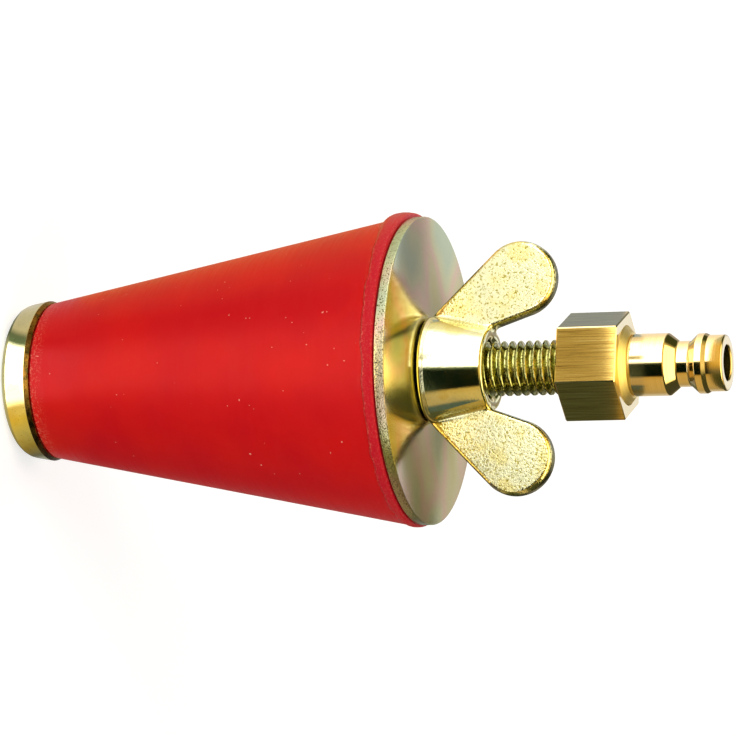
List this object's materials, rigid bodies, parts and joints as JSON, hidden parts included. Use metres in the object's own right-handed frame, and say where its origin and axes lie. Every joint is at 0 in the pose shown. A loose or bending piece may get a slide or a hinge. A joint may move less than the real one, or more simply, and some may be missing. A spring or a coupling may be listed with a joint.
{
  "type": "conical pipe test plug",
  "caption": "Expanding rubber cone plug for closing a pipe under test, tightened by a wing nut on a hollow spindle with a quick-coupling nipple.",
  "frame": {"origin": "centre of the nose cap's flat outer face, on the axis of the spindle", "axes": "+Z along the spindle from the nose cap to the nipple, +X along the wing nut's ears turned back by ten degrees"},
  "size_m": [0.0458, 0.0458, 0.1077],
  "materials": {
    "yellow_zinc_steel": "zinc plated and yellow passivated",
    "turned_brass": "turned, bright",
    "red_rubber": "moulded, satin",
    "seal_rubber": "moulded, matt"
  },
  "bodies": {
    "core": {"nose_cap": "yellow_zinc_steel", "spindle": "yellow_zinc_steel", "rubber_cone": "red_rubber", "coupling_nipple": "turned_brass", "nipple_seal": "seal_rubber"},
    "washer": {"pressure_washer": "yellow_zinc_steel"},
    "nut": {"wing_nut": "yellow_zinc_steel"}
  },
  "joints": [
    {"name": "washer_travel", "type": "slide", "parent": "core", "child": "washer", "axis": [0, 0, -1], "range_m": [0, 0.00594], "deforming": ["rubber_cone"]},
    {"name": "nut_turn", "type": "hinge", "parent": "washer", "child": "nut", "pos_m": [0, 0, 0.0684], "axis": [0, 0, -1], "range_deg": [0, 1710]}
  ],
  "couplings": [
    {"joint": "nut_turn", "follows": "washer_travel", "rad_per_m": 5026.5}
  ]
}
